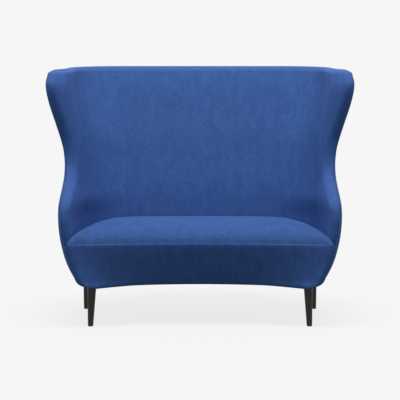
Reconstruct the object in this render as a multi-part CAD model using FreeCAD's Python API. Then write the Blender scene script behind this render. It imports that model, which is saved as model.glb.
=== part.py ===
import FreeCAD, Part
import math
import os

# High back settee: sprung seat, one curved upholstered shell for back, wings and arms,
# four turned legs. Millimetres, +Z up, origin on the floor under the middle of the whole.
# A depth is counted backwards from the front feet, and becomes +Y once the origin is taken off.

V = FreeCAD.Vector

# Overall sizes
overallWidth = 1530.0       # across the two wing tips
overallHeight = 1313.0      # floor to the middle of the top edge
frontOverhang = 58.0        # seat corners ahead of the front feet
backDepth = 790.0           # front feet to the rearmost part of the back
legLength = 190.0           # floor to the underside of the body
seamHeight = 383.0          # seam between front border and seat
seatCrown = 495.0           # highest part of the seat
armHeight = 600.0           # top of the arm fronts
rimDrop = 55.0              # wing corners lower than the middle of the top edge

wingHalf = overallWidth / 2
far = 4 * wingHalf          # past everything, for cutting bodies
rimHeight = overallHeight - rimDrop
originDepth = (backDepth - frontOverhang) / 2

# Layers, from the outside in
coverThick = 2.5            # woven upholstery cover
panelThick = 3.0            # bent plywood outside panels
frameSide = 24.0            # hardwood and plywood frame in the arms and wings
frameBack = 33.0            # the same in the back
webThick = 1.2              # rubber webbing on the inside of the back frame
hessianThick = 0.8          # hessian over the webbing
borderFoam = 15.0           # pad on the front border
endWall = 45.0              # thickness of an arm or wing at its front edge
clearance = 0.4             # gap left between neighbouring layers
reach = 20.0                # cutting bodies go on this far past what they cut
crumb = 2000.0              # cubic millimetres, offcuts of frame timber left out
sliver = 200.0              # the same of covers and foam
nearlyStraight = 0.003      # radians, arcs flatter than this are drawn as lines
leastRound = 3.0            # no edge of a layer is rounded tighter
leastCorner = 20.0          # no rear corner of a layer is tighter
levelGap = 6.0              # outlines are drawn no closer together than this

# Edges
edgeRoundOut = 12.0         # outer rounding of the arm and wing fronts
edgeRoundIn = 22.0          # inner rounding of the same
rimRoundOut = 12.0          # outer rounding of the top edge
rimRoundIn = 24.0           # inner rounding of the top edge
seamInset = 12.0            # seam of the outside covers behind the front edge
frameInset = 14.0           # frame behind the front edge
frameDrop = 16.0            # frame under the top edge
cornerRound = 30.0          # front corners of the body
cornerGrowth = 0.2          # they widen by this share as the seat's crown falls away
tuckHeight = 16.0           # front corners tucked in up to this far over the underside
skirtHeight = 60.0          # and drawn in up to here
bowHeight = 90.0            # the hollow of the front face deepens below here
bodyProud = 2.0             # sides of the body wider than the arm fronts

# Frame
deckHeight = 318.0          # top of the seat rails
railGap = 9.0               # springs and deck cloth between rails and foam
railLift = 6.0              # underside of the body to the rails, padded
panelLift = 14.0            # the same to the outside panels
railThick = 26.0            # front seat rail
formerThick = 18.0          # horizontal plywood formers
postWidth = 45.0            # upright posts of the back
edgeFormerWidth = 40.0      # curved formers behind the arm and wing fronts
topRailHeight = 34.0        # top rail under the rim
coverSeamInset = 205.0      # wing tip to the upright seams of the outside back
foamSplitInset = 325.0      # wing tip to the joint of the back and side foams
stretcherWidth = 32.0       # rail across the middle of the seat
stretcherHeight = 70.0
postSide = 15.0             # posts let into the outer part of the frame
postBack = 20.0
underArm = 40.0             # arm former under the arm fronts
postAt = 430.0              # middle of the seat to the outer back posts
leanFrom = armHeight + 100  # the outlines lean back above this height
leanHinge = 380.0           # depth that keeps its height where they lean
sidePostDepth = 400.0
railJoint = 310.0           # joint of side and rear rails ahead of backDepth
blockWidth = 110.0          # corner blocks inside the rails
blockDepth = 105.0
fixingInset = 35.0          # dowels and screws from the edges of what they join
dowelRadius = 4.0
dowelLength = 50.0
screwRadius = 2.5
screwHead = 4.5
screwHeadDepth = 3.2
screwLength = 60.0
screwSink = 1.5             # screw heads under the face of the front rail

# Legs
legTopRadius = 21.5
legFootRadius = 13.0
legSplay = 2.0              # degrees outwards
frontSplay = 0.5            # share of it that the front legs lean forwards
rearSplay = 1.0             # share of it that the rear legs lean backwards
frontLegInset = 248.0       # wing tip to the axis of a front leg at its top
rearLegInset = 165.0
frontLegDepth = 16.0
rearLegFromBack = 257.0
plateRadius = 21.0
plateThick = 2.5
boltRadius = 4.0
boltInLeg = 38.0
boltInFrame = 45.0
boltFit = 0.2               # round clearance of the leg bolts
boltEnd = 1.0               # room past each end of a leg bolt
glideThick = 3.0
glideRadius = 12.0
plateScrewRadius = 2.0
plateScrewCircle = 14.0
plateScrewLength = 22.0
plateRoom = 1.5             # dust cover cut this much wider than the plates

# Springs
springWire = 3.6
springSpacing = 112.0
springTurns = 20
springWidth = 30.0          # straight part of each turn
springEnd = 12.0            # straight end held in its clip
clipThick = 1.0
clipWidth = 14.0
clipDepth = 16.0
tieRadius = 1.5
tieAt = (0.33, 0.66)        # shares of the seat depth
tiePast = 40.0              # tie wires past the outer springs
springInset = 90.0          # outer springs from the side rails
springRoom = 0.2            # wire to clip, round clearance

# Seat
domeFront = 200.0           # the crown falls away over this width at the front
domeSide = 190.0            # the same at the arms and the back
domePower = 2.4             # fullness of the crown, 2 being an ellipse
pressed = 6.0               # seat drawn past the arms and the back, then cut back to them
deckCloth = 1.2
deckInset = 6.0             # deck cloth inside the frame and the border pad
dustCloth = 1.0
dustInset = 10.0            # dust cover inside the sides of the body
dustFront = 22.0            # the same at the front

# Back webbing
webStripWidth = 50.0
webStripPitch = 90.0
webInset = 60.0             # webbing and hessian behind the front edges
webTop = 8.0                # webbing under the top of the frame
hessianTop = 4.0
hessianSide = 5.0           # hessian inside the joint of the foams

# Staples of the dust cover
stapleWidth = 10.0
stapleWire = 0.8
stapleLeg = 10.0
stapleSpacing = 75.0
stapleInset = 5.0           # staples inside the edge of the dust cover
stapleRoom = 14.0           # no staples this near to a leg plate


def low(share):
    # a height between the front seam and the arm tops
    return seamHeight + share * (armHeight - seamHeight)


def up(share):
    # a height between the arm tops and the wing corners
    return armHeight + share * (rimHeight - armHeight)


# The shell by height: height, outer side inside the wing tips, outer back ahead of backDepth,
# side wall, back wall, outer rear corner, inner rear corner, share of the side that sweeps
shell = [
    (legLength, 143, 145, 80, 150, 150, 150, 0.92),
    (legLength + skirtHeight, 105, 133, 85, 160, 162, 160, 0.92),
    (seamHeight, 64, 113, 96, 145, 190, 180, 0.92),
    (low(0.50), 55, 101, 94, 141, 205, 200, 0.92),
    (armHeight, 62, 93, 104, 134, 230, 220, 0.92),
    (up(0.10), 68, 85, 88, 130, 236, 225, 0.90),
    (up(0.30), 79, 69, 69, 114, 250, 235, 0.85),
    (up(0.46), 76, 55, 68, 105, 250, 240, 0.80),
    (up(0.68), 70, 32, 59, 91, 250, 235, 0.68),
    (up(0.90), 63, 10, 50, 81, 250, 225, 0.60),
    (rimHeight, 63, 0, 50, 72, 250, 220, 0.70),
]

# Front edge of arm and wing by height: height, inside the wing tips, depth
frontEdge = [
    (legLength, 214, 20),
    (legLength + tuckHeight, 191, 16),
    (legLength + skirtHeight, 166, 8),
    (seamHeight, 121, -6),
    (low(0.35), 108, -13),
    (low(0.68), 102, -9),
    (low(0.87), 101, 8),
    (low(0.98), 101, 42),
    (up(0.06), 101, 125),
    (up(0.137), 97, 228),
    (up(0.213), 91, 282),
    (up(0.304), 82, 303),
    (up(0.426), 63, 303),
    (up(0.578), 35, 278),
    (up(0.73), 9, 243),
    (up(0.836), -3, 226),
    (up(0.897), -5, 226),
    (up(0.95), 0, 243),
    (up(0.985), 7, 274),
    (rimHeight, 22, 322),
]

# Front face of the body by height: height, depth at the corners, depth in the middle
frontFace = [
    (legLength, -frontOverhang, 78),
    (legLength + bowHeight, -frontOverhang, 42),
    (seamHeight, -frontOverhang, 12),
    (seatCrown, -frontOverhang + 4, 14),
]

# Heights at which the outlines are drawn
levelShares = [0.0, 0.076, 0.152, 0.228, 0.32, 0.43, 0.54, 0.65, 0.75, 0.836, 0.897, 0.94, 0.97, 0.988, 1.0]
levels = [legLength, legLength + tuckHeight, legLength + skirtHeight, (legLength + seamHeight) / 2]
levels += [deckHeight + railGap, seamHeight]
levels += [low(0.27), low(0.54), low(0.79)] + [up(share) for share in levelShares]


def along(table, column, height):
    # a smooth curve through one column of a table
    heights = [row[0] for row in table]
    values = [row[column] for row in table]
    last = len(table) - 1
    if height <= heights[0]:
        return values[0]
    if height >= heights[last]:
        return values[last]
    k = 0
    while heights[k + 1] < height:
        k += 1

    def slope(i):
        if i == 0:
            return (values[1] - values[0]) / (heights[1] - heights[0])
        if i == last:
            return (values[last] - values[last - 1]) / (heights[last] - heights[last - 1])
        before = heights[i] - heights[i - 1]
        after = heights[i + 1] - heights[i]
        riseBefore = (values[i] - values[i - 1]) / before
        riseAfter = (values[i + 1] - values[i]) / after
        return (riseBefore * after + riseAfter * before) / (before + after)

    span = heights[k + 1] - heights[k]
    t = (height - heights[k]) / span
    start = (2 * t ** 3 - 3 * t ** 2 + 1) * values[k] + (t ** 3 - 2 * t ** 2 + t) * span * slope(k)
    end = (3 * t ** 2 - 2 * t ** 3) * values[k + 1] + (t ** 3 - t ** 2) * span * slope(k + 1)
    return start + end


class Level:
    # the sizes of the shell at one height
    def __init__(self, height):
        self.half = wingHalf - along(shell, 1, height)
        self.back = backDepth - along(shell, 2, height)
        self.side = along(shell, 3, height)
        self.wall = along(shell, 4, height)
        self.corner = along(shell, 5, height)
        self.innerCorner = along(shell, 6, height)
        self.share = along(shell, 7, height)
        self.edgeHalf = wingHalf - along(frontEdge, 1, height)
        self.edgeDepth = along(frontEdge, 2, height)
        self.frontCorner = along(frontFace, 1, height)
        self.frontMiddle = along(frontFace, 2, height)
        # the side runs straight forwards, then sweeps in or out to the front edge
        straightEnd = self.back - self.corner
        self.sweep = self.share * (straightEnd - self.edgeDepth)
        self.sweepStart = self.edgeDepth + self.sweep
        self.turn = 2 * math.atan2(self.edgeHalf - self.half, self.sweep)
        self.forward = (math.sin(self.turn), -math.cos(self.turn))
        self.outward = (math.cos(self.turn), math.sin(self.turn))


def step(point, direction, distance):
    return (point[0] + direction[0] * distance, point[1] + direction[1] * distance)


def bend(start, direction, end):
    # three points of the arc that leaves start in this direction and meets end
    across = end[0] - start[0]
    ahead = end[1] - start[1]
    chord = math.hypot(across, ahead)
    angle = math.atan2(direction[0] * ahead - direction[1] * across,
                       direction[0] * across + direction[1] * ahead)
    if abs(angle) < nearlyStraight:
        return (start, end)
    halfWay = chord / (2 * math.cos(angle / 2))
    turned = (direction[0] * math.cos(angle / 2) - direction[1] * math.sin(angle / 2),
              direction[0] * math.sin(angle / 2) + direction[1] * math.cos(angle / 2))
    return (start, step(start, turned, halfWay), end)


def rearCorner(half, back, radius):
    # quarter arc from the back line to the side line
    middle = radius * (1 - math.sqrt(0.5))
    return ((half - radius, back), (half - middle, back - middle), (half, back - radius))


def outerRun(at, inset, edge):
    # outer face of the right side, from the back line to the front edge
    half = at.half - inset
    start = (half, at.sweepStart)
    end = step(step((at.edgeHalf, at.edgeDepth), at.outward, -inset), at.forward, -edge)
    corner = rearCorner(half, at.back - inset, at.corner - inset)
    return [corner, (corner[2], start), bend(start, (0, -1), end)]


def innerRun(at, side, wall, end, radius, edge):
    # inner face of the right side, from the front edge to the back line
    half = at.half - side
    corner = rearCorner(half, at.back - wall, radius)
    tip = step(step((at.edgeHalf, at.edgeDepth), at.outward, -end), at.forward, -edge)
    start = (half, tip[1] + at.share * (corner[2][1] - tip[1]))
    if side == end:
        start = (half, at.sweepStart)
    sweep = bend(start, (0, -1), tip)
    return [tuple(reversed(sweep)), (start, corner[2]), tuple(reversed(corner))]


def mirrored(run):
    return [tuple((-x, y) for x, y in reversed(piece)) for piece in reversed(run)]


def closed(run):
    # the right half with its mirror image, joined across the middle
    left = mirrored(run)
    return [(left[-1][-1], run[0][0])] + run + [(run[-1][-1], left[0][0])] + left


def tilt(height):
    # the outlines lean back towards the top, so that the top edge rises to its middle
    share = max(0.0, (height - leanFrom) / (rimHeight - leanFrom))
    return math.degrees(math.atan(rimDrop / (backDepth - leanHinge))) * share ** 2


def toWire(pieces, height):
    edges = []
    for piece in pieces:
        points = [V(x, y - originDepth, height) for x, y in piece]
        if len(points) == 2:
            edges.append(Part.LineSegment(points[0], points[1]).toShape())
        else:
            edges.append(Part.Arc(points[0], points[1], points[2]).toShape())
    wire = Part.Wire(edges)
    wire.rotate(V(0, leanHinge - originDepth, height), V(1, 0, 0), tilt(height))
    return wire


def fullWire(height, inset, topInset):
    # outline of the whole padded shell, with rounded front edges and a rounded rim
    at = Level(height)
    top = rimHeight - topInset
    grown = 0.0
    if height > top - (rimRoundIn - inset):
        radius = rimRoundIn - inset
        grown = radius - math.sqrt(max(0.0, radius ** 2 - (height - top + radius) ** 2))
    outGrown = grown * rimRoundOut / rimRoundIn
    near = inset + outGrown
    side = at.side - inset - grown
    wall = at.wall - inset - grown
    end = endWall - inset - grown
    edge = inset + outGrown
    outRound = max(leastRound, edgeRoundOut - inset - outGrown)
    inRound = max(leastRound, min(edgeRoundIn - inset, (end - near) / 2))
    outer = outerRun(at, near, edge + outRound)
    inner = innerRun(at, side, wall, end, at.innerCorner + inset + grown, edge + inRound)
    corner = step(step((at.edgeHalf, at.edgeDepth), at.outward, -near), at.forward, -edge)
    width = end - near
    capStart = step(corner, at.outward, -outRound)
    capEnd = step(corner, at.outward, -(width - inRound))
    cap = [bend(outer[-1][-1], at.forward, capStart), (capStart, capEnd)]
    back = (-at.outward[0], -at.outward[1])
    cap.append(bend(capEnd, back, inner[0][0]))
    return toWire(closed(outer + cap + inner), height)


def bandWire(height, near, side, wall, edge):
    # outline of one layer of the shell, between two distances from its outer face
    at = Level(height)
    outer = outerRun(at, near, edge)
    inner = innerRun(at, side, wall, side, max(leastCorner, at.corner - wall), edge)
    return toWire(closed(outer + [(outer[-1][-1], inner[0][0])] + inner), height)


def hollowWire(height, gap, edge):
    # outline round the padded shell, a little larger than it, to cut neighbours free of it
    at = Level(height)
    outer = outerRun(at, -2 * reach, edge)
    inner = innerRun(at, at.side + gap, at.wall + gap, endWall + gap, at.innerCorner - gap, edge)
    return toWire(closed(outer + [(outer[-1][-1], inner[0][0])] + inner), height)


def loft(wireAt, bottom, top):
    between = [height for height in levels if bottom + levelGap < height < top - levelGap / 2]
    heights = [bottom] + between + [top]
    return Part.makeLoft([wireAt(height) for height in heights], True, False)


def slab(bottom, top):
    return Part.makeBox(4 * wingHalf, 4 * wingHalf, top - bottom, V(-2 * wingHalf, -2 * wingHalf, bottom))


def fullShell(inset):
    top = rimHeight - inset
    radius = rimRoundIn - inset
    rounding = [top - radius * share for share in (1.0, 0.6, 0.3, 0.1, 0.0)]
    heights = [height for height in levels if height < top - radius - levelGap] + rounding
    return Part.makeLoft([fullWire(height, inset, inset) for height in heights], True, False)


def band(near, side, wall, edge, top):
    return loft(lambda height: bandWire(height, near, side, wall, edge), legLength, top)


def frontDepth(x, height, front):
    # depth of the hollow front face, or of a layer behind it, at a distance from the middle
    at = Level(height)
    endX = at.edgeHalf + bodyProud - cornerRound
    drop = at.frontMiddle - at.frontCorner
    radius = (endX ** 2 + drop ** 2) / (2 * drop)
    return at.frontMiddle - radius + math.sqrt((radius + front) ** 2 - x ** 2)


def bodyWire(height, inset, front):
    # outline of the closed body under the arms, front face included
    at = Level(height)
    radius = max(2 * leastRound, cornerRound - front)
    outer = outerRun(at, inset, 0)
    endX = at.edgeHalf - inset + bodyProud - radius
    frontEnd = (endX, frontDepth(endX, height, front))
    sideEnd = (endX + radius, frontEnd[1] + radius)
    corner = bend(sideEnd, (0, -1), frontEnd)
    middle = (0, frontDepth(0, height, front))
    left = (-frontEnd[0], frontEnd[1])
    run = outer + [(outer[-1][-1], sideEnd), corner]
    back = (mirrored(run)[-1][-1], run[0][0])
    return toWire([back] + run + [(frontEnd, middle, left)] + mirrored(run), height)


def body(inset, front, bottom, top):
    whole = loft(lambda height: bodyWire(height, inset, front), legLength, armHeight)
    return whole.common(slab(bottom, top))


def box(x0, x1, depth0, depth1, z0, z1):
    return Part.makeBox(x1 - x0, depth1 - depth0, z1 - z0, V(x0, depth0 - originDepth, z0))


def largest(shape):
    return max(shape.Solids, key=lambda solid: solid.Volume)


def clean(shape, smallest=sliver):
    # the solids of a cut, without crumbs
    kept = [solid for solid in shape.Solids if solid.Volume > smallest]
    return kept[0] if len(kept) == 1 else Part.makeCompound(kept)


def save(name, shape):
    shape.exportStep("parts/" + name + ".step")
    print(name, len(shape.Solids), round(shape.Volume / 1000), shape.isValid())


def seatWire(angle, inset):
    # outline of the crowned seat, from its foot at 0 degrees to its top at 90
    bottom = seamHeight + clearance
    rise = math.sin(math.radians(angle)) ** (2 / domePower)
    fall = 1 - abs(math.cos(math.radians(angle))) ** (2 / domePower)
    height = bottom + rise * (seatCrown - inset - bottom)
    at = Level(height)
    front = domeFront * fall + inset
    side = domeSide * fall + inset
    rearX = at.half - at.side + pressed - side
    rearDepth = at.back - at.wall + pressed - side
    frontX = at.edgeHalf + bodyProud - side
    corner = rearCorner(rearX, rearDepth, at.innerCorner - side / 2)
    turn = cornerRound + front * cornerGrowth
    endX = frontX - turn
    frontEnd = (endX, frontDepth(endX, height, front))
    sideEnd = (frontX, frontEnd[1] + turn)
    run = [corner, (corner[2], sideEnd), bend(sideEnd, (0, -1), frontEnd)]
    back = (mirrored(run)[-1][-1], run[0][0])
    middle = (0, frontDepth(0, height, front))
    left = (-frontEnd[0], frontEnd[1])
    return toWire([back] + run + [(frontEnd, middle, left)] + mirrored(run), height)


def seatDome(inset):
    angles = (0, 12, 24, 36, 48, 60, 70, 78, 84, 90)
    return Part.makeLoft([seatWire(angle, inset) for angle in angles], True, False)


def columns(middle, width):
    # an upright slice of the back half, to cut posts and strips from a layer
    return box(middle - width / 2, middle + width / 2, originDepth, far, 0, far)


def rod(start, direction, radius, length):
    return Part.makeCylinder(radius, length, start, direction)


def both(shape):
    # a piece and its mirror image across the middle
    return [shape, shape.mirror(V(0, 0, 0), V(1, 0, 0))]


def spring(x, depth0, depth1, height):
    # one sinuous spring, from clip to clip
    radius = (depth1 - depth0 - 2 * springEnd) / (2 * springTurns + 2)
    y = depth0 - originDepth
    points = [V(x, y, height), V(x, y + springEnd, height)]
    edges = [Part.LineSegment(points[0], points[1]).toShape()]
    y += springEnd

    def quarter(start, centre, end):
        middle = start + end - centre * 2
        middle.normalize()
        return Part.Arc(start, centre + middle * radius, end).toShape()

    def halfTurn(start, side):
        # a quarter turn out to the side and one back
        centre = V(start.x, start.y + radius, height)
        outer = V(start.x + side * radius, start.y + radius, height)
        edges.append(quarter(start, centre, outer))
        end = V(start.x, start.y + 2 * radius, height)
        edges.append(quarter(outer, centre, end))
        return end

    end = V(x + radius, y + radius, height)
    edges.append(quarter(points[1], V(x + radius, y, height), end))
    side = 1
    for turn in range(springTurns):
        corner = V(x + side * springWidth / 2, end.y, height)
        edges.append(Part.LineSegment(end, corner).toShape())
        end = halfTurn(corner, side)
        side = -side
    corner = V(x - radius, end.y, height)
    edges.append(Part.LineSegment(end, corner).toShape())
    end = V(x, end.y + radius, height)
    edges.append(quarter(corner, V(x - radius, end.y, height), end))
    edges.append(Part.LineSegment(end, V(x, end.y + springEnd, height)).toShape())
    path = Part.Wire(edges)
    profile = Part.Wire(Part.Circle(points[0], V(0, 1, 0), springWire / 2).toShape())
    return path.makePipeShell([profile], True, False)


panelNear = coverThick + clearance
panelFar = panelNear + panelThick
frameNear = panelFar + clearance
frameSideFar = frameNear + frameSide
frameBackFar = frameNear + frameBack
webNear = frameBackFar + clearance
webFar = webNear + webThick
hessianNear = webFar + clearance
hessianFar = hessianNear + hessianThick
foamSideFar = frameSideFar + clearance
foamBackFar = hessianFar + clearance
foamBottom = deckHeight + railGap
panelTop = rimHeight - rimRoundOut
frameTop = rimHeight - frameDrop
topRailBottom = frameTop - topRailHeight
borderBack = coverThick + borderFoam
coverSeam = wingHalf - coverSeamInset
foamSplit = wingHalf - foamSplitInset
railBottom = legLength + railLift
blockBottom = legLength + plateThick
rightPart = box(0, far, -far, far, 0, far)
leftPart = box(-far, 0, -far, far, 0, far)
abovePart = slab(foamBottom, far)

# The padded shell: cover and foam
outerSkin = fullShell(0.0).common(abovePart)
foamSkin = fullShell(coverThick).common(abovePart)
outsideZone = band(-reach, foamSideFar, foamBackFar, seamInset - clearance, panelTop + clearance)
foamZone = band(-reach, foamSideFar, foamBackFar, frameInset - clearance, frameTop + clearance)
foam = foamSkin.cut(foamZone)
sideRight = box(foamSplit, far, -far, far, 0, far)
sideLeft = box(-far, -foamSplit, -far, far, 0, far)
save("inside_cover", clean(outerSkin.cut(foamSkin).cut(outsideZone)))
save("inside_back_foam", clean(foam.cut(sideRight).cut(sideLeft)))
save("side_foam_right", clean(foam.common(sideRight)))
save("side_foam_left", clean(foam.common(sideLeft)))

# Outside covers and panels
outside = band(0, coverThick, coverThick, seamInset, panelTop)
panel = band(panelNear, panelFar, panelFar, frameInset, frameTop)
panel = panel.common(slab(legLength + panelLift, far))
for layer, name in ((outside, "cover"), (panel, "panel")):
    backPart = box(-coverSeam, coverSeam, originDepth, far, 0, far)
    save("outside_back_" + name, clean(layer.common(backPart)))
    sides = layer.cut(backPart)
    save("outside_side_" + name + "_right", clean(sides.common(rightPart)))
    save("outside_side_" + name + "_left", clean(sides.common(leftPart)))

# Seat frame
upright = band(frameNear, frameSideFar, frameBackFar, frameInset, topRailBottom)
uprightZone = band(-reach, foamSideFar, frameBackFar + clearance, frameInset - clearance, topRailBottom)
ring = upright.common(slab(railBottom, deckHeight))
jointDepth = backDepth - railJoint
behindJoint = box(-far, far, jointDepth, far, 0, far)
rearRail = ring.common(behindJoint)
sideRails = ring.cut(behindJoint)
frontRail = body(frameNear, borderBack + clearance, railBottom, deckHeight)
behindRail = body(-reach, borderBack + railThick, railBottom - reach, deckHeight + reach)
frontRail = frontRail.cut(behindRail).cut(uprightZone)
hollow = body(frameNear, borderBack + railThick + clearance, blockBottom, deckHeight).cut(uprightZone)
frontLegHalf = wingHalf - frontLegInset
rearLegHalf = wingHalf - rearLegInset
rearLegDepth = backDepth - rearLegFromBack
frontBlock = hollow.common(box(frontLegHalf - blockWidth / 2, far, -far, blockDepth, 0, far))
rearBlock = hollow.common(box(rearLegHalf - blockWidth, far, rearLegDepth - blockDepth / 2, far, 0, far))
stretcher = hollow.common(box(-stretcherWidth / 2, stretcherWidth / 2, -far, far, blockBottom,
                              blockBottom + stretcherHeight))

# Dowels and screws of the seat frame
dowels = []
for height in (railBottom + fixingInset, deckHeight - fixingInset):
    x = Level(height).half - frameNear - frameSide / 2
    start = V(x, jointDepth - dowelLength / 2 - originDepth, height)
    dowels += both(rod(start, V(0, 1, 0), dowelRadius, dowelLength))
for x in (-postAt, 0.0, postAt):
    y = Level(deckHeight).back - frameNear - postBack / 2 - originDepth
    dowels.append(rod(V(x, y, deckHeight - dowelLength / 2), V(0, 0, 1), dowelRadius, dowelLength))
screws = []
for x in (frontLegHalf - fixingInset, frontLegHalf + 0.7 * fixingInset):
    for height in (railBottom + fixingInset, deckHeight - fixingInset):
        y = frontDepth(x, height, borderBack) + screwSink - originDepth
        shank = rod(V(x, y, height), V(0, 1, 0), screwRadius, screwLength)
        head = Part.makeCone(screwHead, screwRadius, screwHeadDepth, V(x, y, height), V(0, 1, 0))
        screws += both(shank.fuse(head).removeSplitter())
dowelGroup = Part.makeCompound(dowels)
screwGroup = Part.makeCompound(screws)

# Legs with their plates, bolts, screws and glides
legs = {}
plates = []
bolts = []
glides = []
plateScrews = []
lean = math.tan(math.radians(legSplay))
frontLegs = ("front", frontLegHalf, frontLegDepth, -frontSplay)
rearLegs = ("rear", rearLegHalf, rearLegDepth, rearSplay)
for place, half, depth, back in (frontLegs, rearLegs):
    for hand, sign in (("left", -1), ("right", 1)):
        top = V(sign * half, depth - originDepth, legLength)
        axis = V(sign * lean, back * lean, -1)
        axis.normalize()
        foot = top + axis * ((legLength - glideThick) / -axis.z)
        length = (foot - top).Length
        # the cone is longer than the leg, then cut level at both ends
        past = (legTopRadius - legFootRadius) / length * legTopRadius
        leg = Part.makeCone(legTopRadius + past, legFootRadius - past, length + 2 * legTopRadius,
                            top - axis * legTopRadius, axis)
        leg = leg.common(slab(glideThick, legLength))
        bolt = rod(top + axis * boltInLeg, axis * -1, boltRadius, boltInLeg + boltInFrame)
        room = rod(top + axis * (boltInLeg + boltEnd), axis * -1, boltRadius + boltFit,
                   boltInLeg + boltInFrame + 2 * boltEnd)
        plate = rod(V(top.x, top.y, legLength), V(0, 0, 1), plateRadius, plateThick).cut(room)
        for turn in range(4):
            angle = math.radians(45 + 90 * turn)
            out = V(math.cos(angle), math.sin(angle), 0) * plateScrewCircle
            screw = rod(top + out, V(0, 0, 1), plateScrewRadius, plateScrewLength)
            plateScrews.append(screw)
            plate = plate.cut(screw)
        legs[place + "_" + hand] = leg.cut(room)
        plates.append(plate)
        bolts.append(bolt)
        glides.append(rod(V(foot.x, foot.y, 0), V(0, 0, 1), glideRadius, glideThick))
for name, leg in legs.items():
    save("leg_" + name, leg)
plateScrewGroup = Part.makeCompound(plateScrews)
boltGroup = Part.makeCompound(bolts)
save("leg_plates", Part.makeCompound(plates))
save("leg_bolts", boltGroup)
save("leg_plate_screws", plateScrewGroup)
save("leg_glides", Part.makeCompound(glides))

# Dust cover and its staples
dust = Part.Face(bodyWire(legLength, dustInset, dustFront))
dust = dust.extrude(V(0, 0, dustCloth))
middles = [V(plate.BoundBox.Center.x, plate.BoundBox.Center.y, legLength) for plate in plates]
for middle in middles:
    dust = dust.cut(rod(middle - V(0, 0, reach), V(0, 0, 1), plateRadius + plateRoom, 2 * reach))
line = bodyWire(legLength, dustInset + stapleInset, dustFront + stapleInset)
count = int(line.Length / stapleSpacing)
points = line.discretize(count + 1)[:-1]
staples = []
for k, point in enumerate(points):
    if min((point - middle).Length for middle in middles) < plateRadius + stapleRoom:
        continue
    heading = points[(k + 1) % count] - points[k - 1]
    crown = Part.makeBox(stapleWidth, stapleWire, stapleWire,
                         V(-stapleWidth / 2, -stapleWire / 2, -stapleWire))
    for x in (-stapleWidth / 2, stapleWidth / 2 - stapleWire):
        crown = crown.fuse(Part.makeBox(stapleWire, stapleWire, stapleLeg, V(x, -stapleWire / 2, 0)))
    crown = crown.removeSplitter()
    crown.rotate(V(0, 0, 0), V(0, 0, 1), math.degrees(math.atan2(heading.y, heading.x)))
    crown.translate(V(point.x, point.y, legLength))
    staples.append(crown)
stapleGroup = Part.makeCompound(staples)
save("dust_cover", largest(dust.cut(stapleGroup)))
save("dust_cover_staples", stapleGroup)

fixings = [dowelGroup, screwGroup, boltGroup, plateScrewGroup, stapleGroup]


def bored(shape):
    for group in fixings:
        shape = shape.cut(group)
    return clean(shape, crumb)


save("seat_front_rail", bored(frontRail))
save("seat_rear_rail", bored(rearRail))
save("seat_side_rail_right", bored(sideRails.common(rightPart)))
save("seat_side_rail_left", bored(sideRails.common(leftPart)))
save("seat_centre_stretcher", bored(stretcher))
for block, place in ((frontBlock, "front"), (rearBlock, "rear")):
    right, left = both(largest(block))
    save("corner_block_" + place + "_right", bored(right))
    save("corner_block_" + place + "_left", bored(left))
save("rail_dowels", dowelGroup)
save("rail_screws", screwGroup)

# Back, wing and arm frame
above = slab(deckHeight, far)
sidePast = frameSideFar + reach
backPast = frameBackFar + reach
edgeInset = frameInset + edgeFormerWidth
behindEdge = band(-reach, sidePast, backPast, edgeInset, topRailBottom + reach)
edgeFormers = upright.common(above).cut(behindEdge)
save("edge_former_right", clean(edgeFormers.common(rightPart), crumb))
save("edge_former_left", clean(edgeFormers.common(leftPart), crumb))
postSideFar = frameNear + postSide
postBackFar = frameNear + postBack
postZone = band(frameNear, postSideFar, postBackFar, edgeInset, topRailBottom).common(above)
postRoom = band(-reach, postSideFar + clearance, postBackFar + clearance, frameInset, topRailBottom)
places = {}
for name, x in (("back_post_right", postAt), ("back_post_left", -postAt), ("back_centre_post", 0.0)):
    places[name] = (columns(x, postWidth), columns(x, postWidth + 2 * clearance))
sideBoxes = []
for gap in (0.0, clearance):
    sideBoxes.append(box(0, far, sidePostDepth - gap, sidePostDepth + postWidth + gap, 0, far))
places["side_post_right"] = tuple(sideBoxes)
places["side_post_left"] = tuple(both(side)[1] for side in sideBoxes)
formerBlank = band(frameNear, frameSideFar, frameBackFar, edgeInset + clearance, topRailBottom)
notches = []
for name, (place, notch) in places.items():
    save(name, largest(postZone.common(place).cut(dowelGroup)))
    notches.append(postRoom.common(notch))
formers = {
    "seat_former": low(0.40),
    "arm_former": armHeight - underArm,
    "waist_former": up(0.32),
    "shoulder_former": up(0.64),
}
for name, height in formers.items():
    former = formerBlank.common(slab(height, height + formerThick))
    for notch in notches:
        former = former.cut(notch)
    save(name, clean(former, crumb))
topRail = band(frameNear, frameSideFar, frameBackFar, frameInset, frameTop)
underRail = band(-reach, sidePast, backPast, -reach, topRailBottom + clearance)
save("top_rail", clean(topRail.cut(underRail), crumb))

# Webbing and hessian on the inside of the back frame
webZone = band(webNear, webFar, webFar, webInset, frameTop - webTop).common(abovePart)
hessianZone = band(hessianNear, hessianFar, hessianFar, webInset, frameTop - hessianTop).common(abovePart)
strips = []
stripCount = 2 * int(foamSplit / webStripPitch) + 1
for k in range(stripCount):
    x = (k - (stripCount - 1) / 2) * webStripPitch
    strips.append(largest(webZone.common(columns(x, webStripWidth))))
save("back_webbing", Part.makeCompound(strips))
save("back_hessian", largest(hessianZone.common(columns(0, 2 * (foamSplit - hessianSide)))))

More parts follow.
